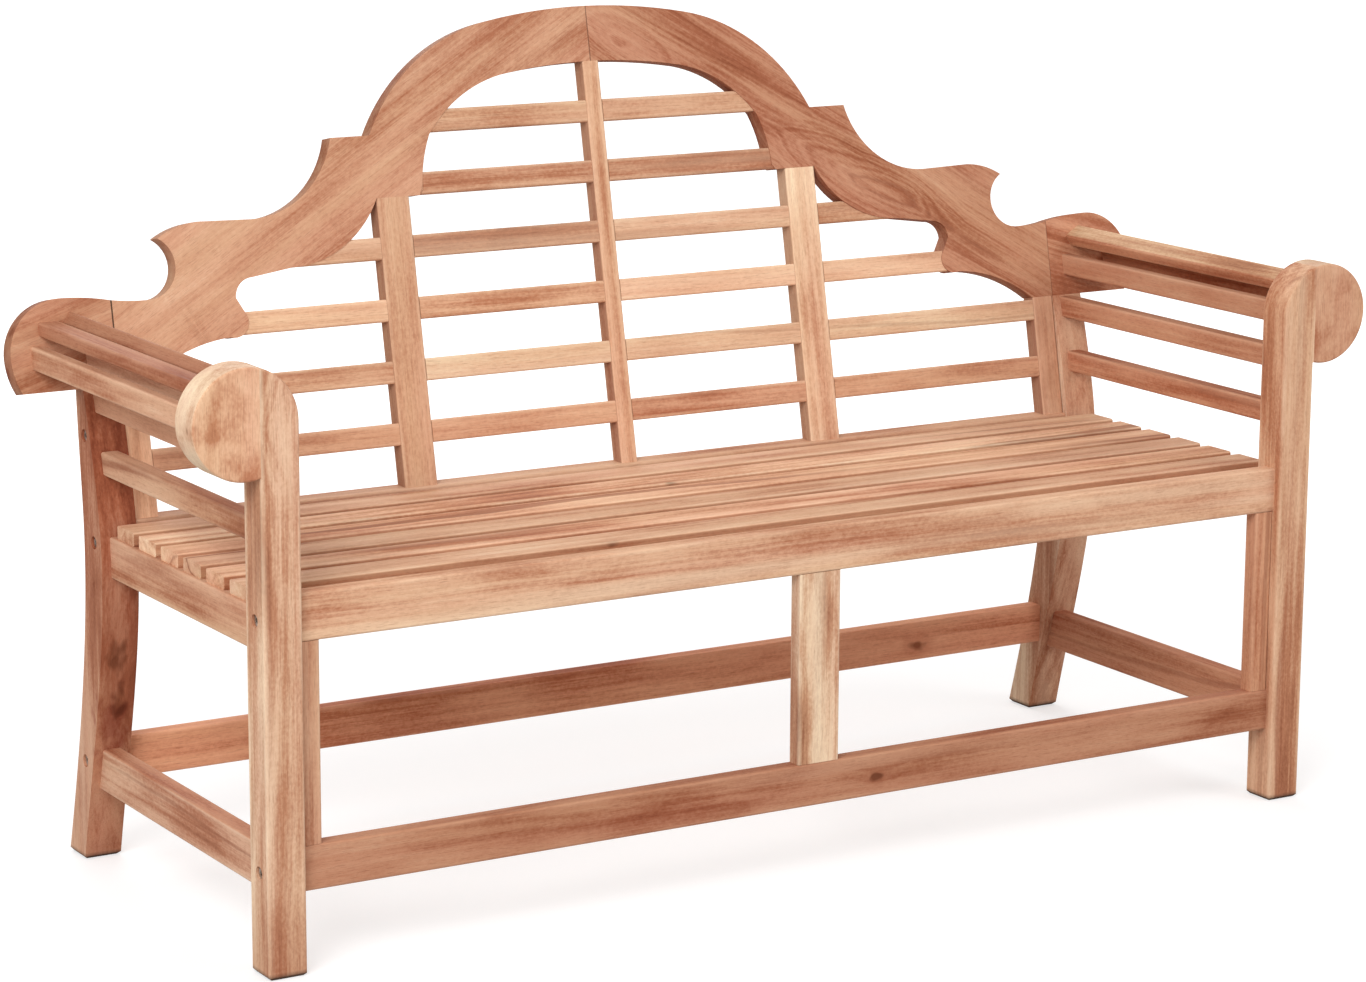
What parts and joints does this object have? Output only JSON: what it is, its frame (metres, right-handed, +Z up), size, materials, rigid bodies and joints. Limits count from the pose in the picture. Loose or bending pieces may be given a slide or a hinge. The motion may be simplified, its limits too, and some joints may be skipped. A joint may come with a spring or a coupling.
{
  "type": "garden bench",
  "caption": "Wooden garden bench with a high arched and scrolled slatted back, rolled arms of slats ending in round discs, a slatted seat, and rails and stretchers joining the legs.",
  "frame": {"origin": "floor point under the middle of the bench's bounding box", "axes": "+X along the length, to the right of someone looking at the front; front faces -Y; +Z up"},
  "size_m": [1.676, 0.618, 1.031],
  "materials": {
    "teak": "sanded, unfinished",
    "dowel": "turned, glued in",
    "steel": "dull"
  },
  "bodies": {
    "root": {"arm_block_left": "teak", "arm_block_right": "teak", "arm_slat_inner_left": "teak", "arm_slat_inner_right": "teak", "arm_slat_outer_left": "teak", "arm_slat_outer_right": "teak", "arm_slat_upper_inner_left": "teak", "arm_slat_upper_inner_right": "teak", "arm_slat_upper_outer_left": "teak", "arm_slat_upper_outer_right": "teak", "back_bolts": "steel", "back_slats_row_1": "teak", "back_slats_row_2": "teak", "back_slats_row_3": "teak", "back_slats_row_4": "teak", "back_slats_row_5": "teak", "back_slats_row_6": "teak", "back_stile_left": "teak", "back_stile_right": "teak", "barrel_nuts": "steel", "centre_muntin": "teak", "crest_dowels": "dowel", "crest_left": "teak", "crest_right": "teak", "frame_bolts": "steel", "front_centre_upright": "teak", "front_end_upright_left": "teak", "front_end_upright_right": "teak", "front_leg_left": "teak", "front_leg_right": "teak", "front_seat_rail": "teak", "front_stretcher": "teak", "joint_dowels": "dowel", "rear_leg_left": "teak", "rear_leg_right": "teak", "rear_scroll_left": "teak", "rear_scroll_right": "teak", "rear_seat_rail": "teak", "rear_stretcher": "teak", "seat_bearer_left": "teak", "seat_bearer_right": "teak", "seat_screws": "steel", "seat_slat_1": "teak", "seat_slat_2": "teak", "seat_slat_3": "teak", "seat_slat_4": "teak", "seat_slat_5": "teak", "seat_slat_6": "teak", "side_muntin_left": "teak", "side_muntin_right": "teak", "side_seat_rail_left": "teak", "side_seat_rail_right": "teak", "side_slat_lower_left": "teak", "side_slat_lower_right": "teak", "side_slat_upper_left": "teak", "side_slat_upper_right": "teak", "side_stretcher_left": "teak", "side_stretcher_right": "teak"}
  },
  "joints": []
}
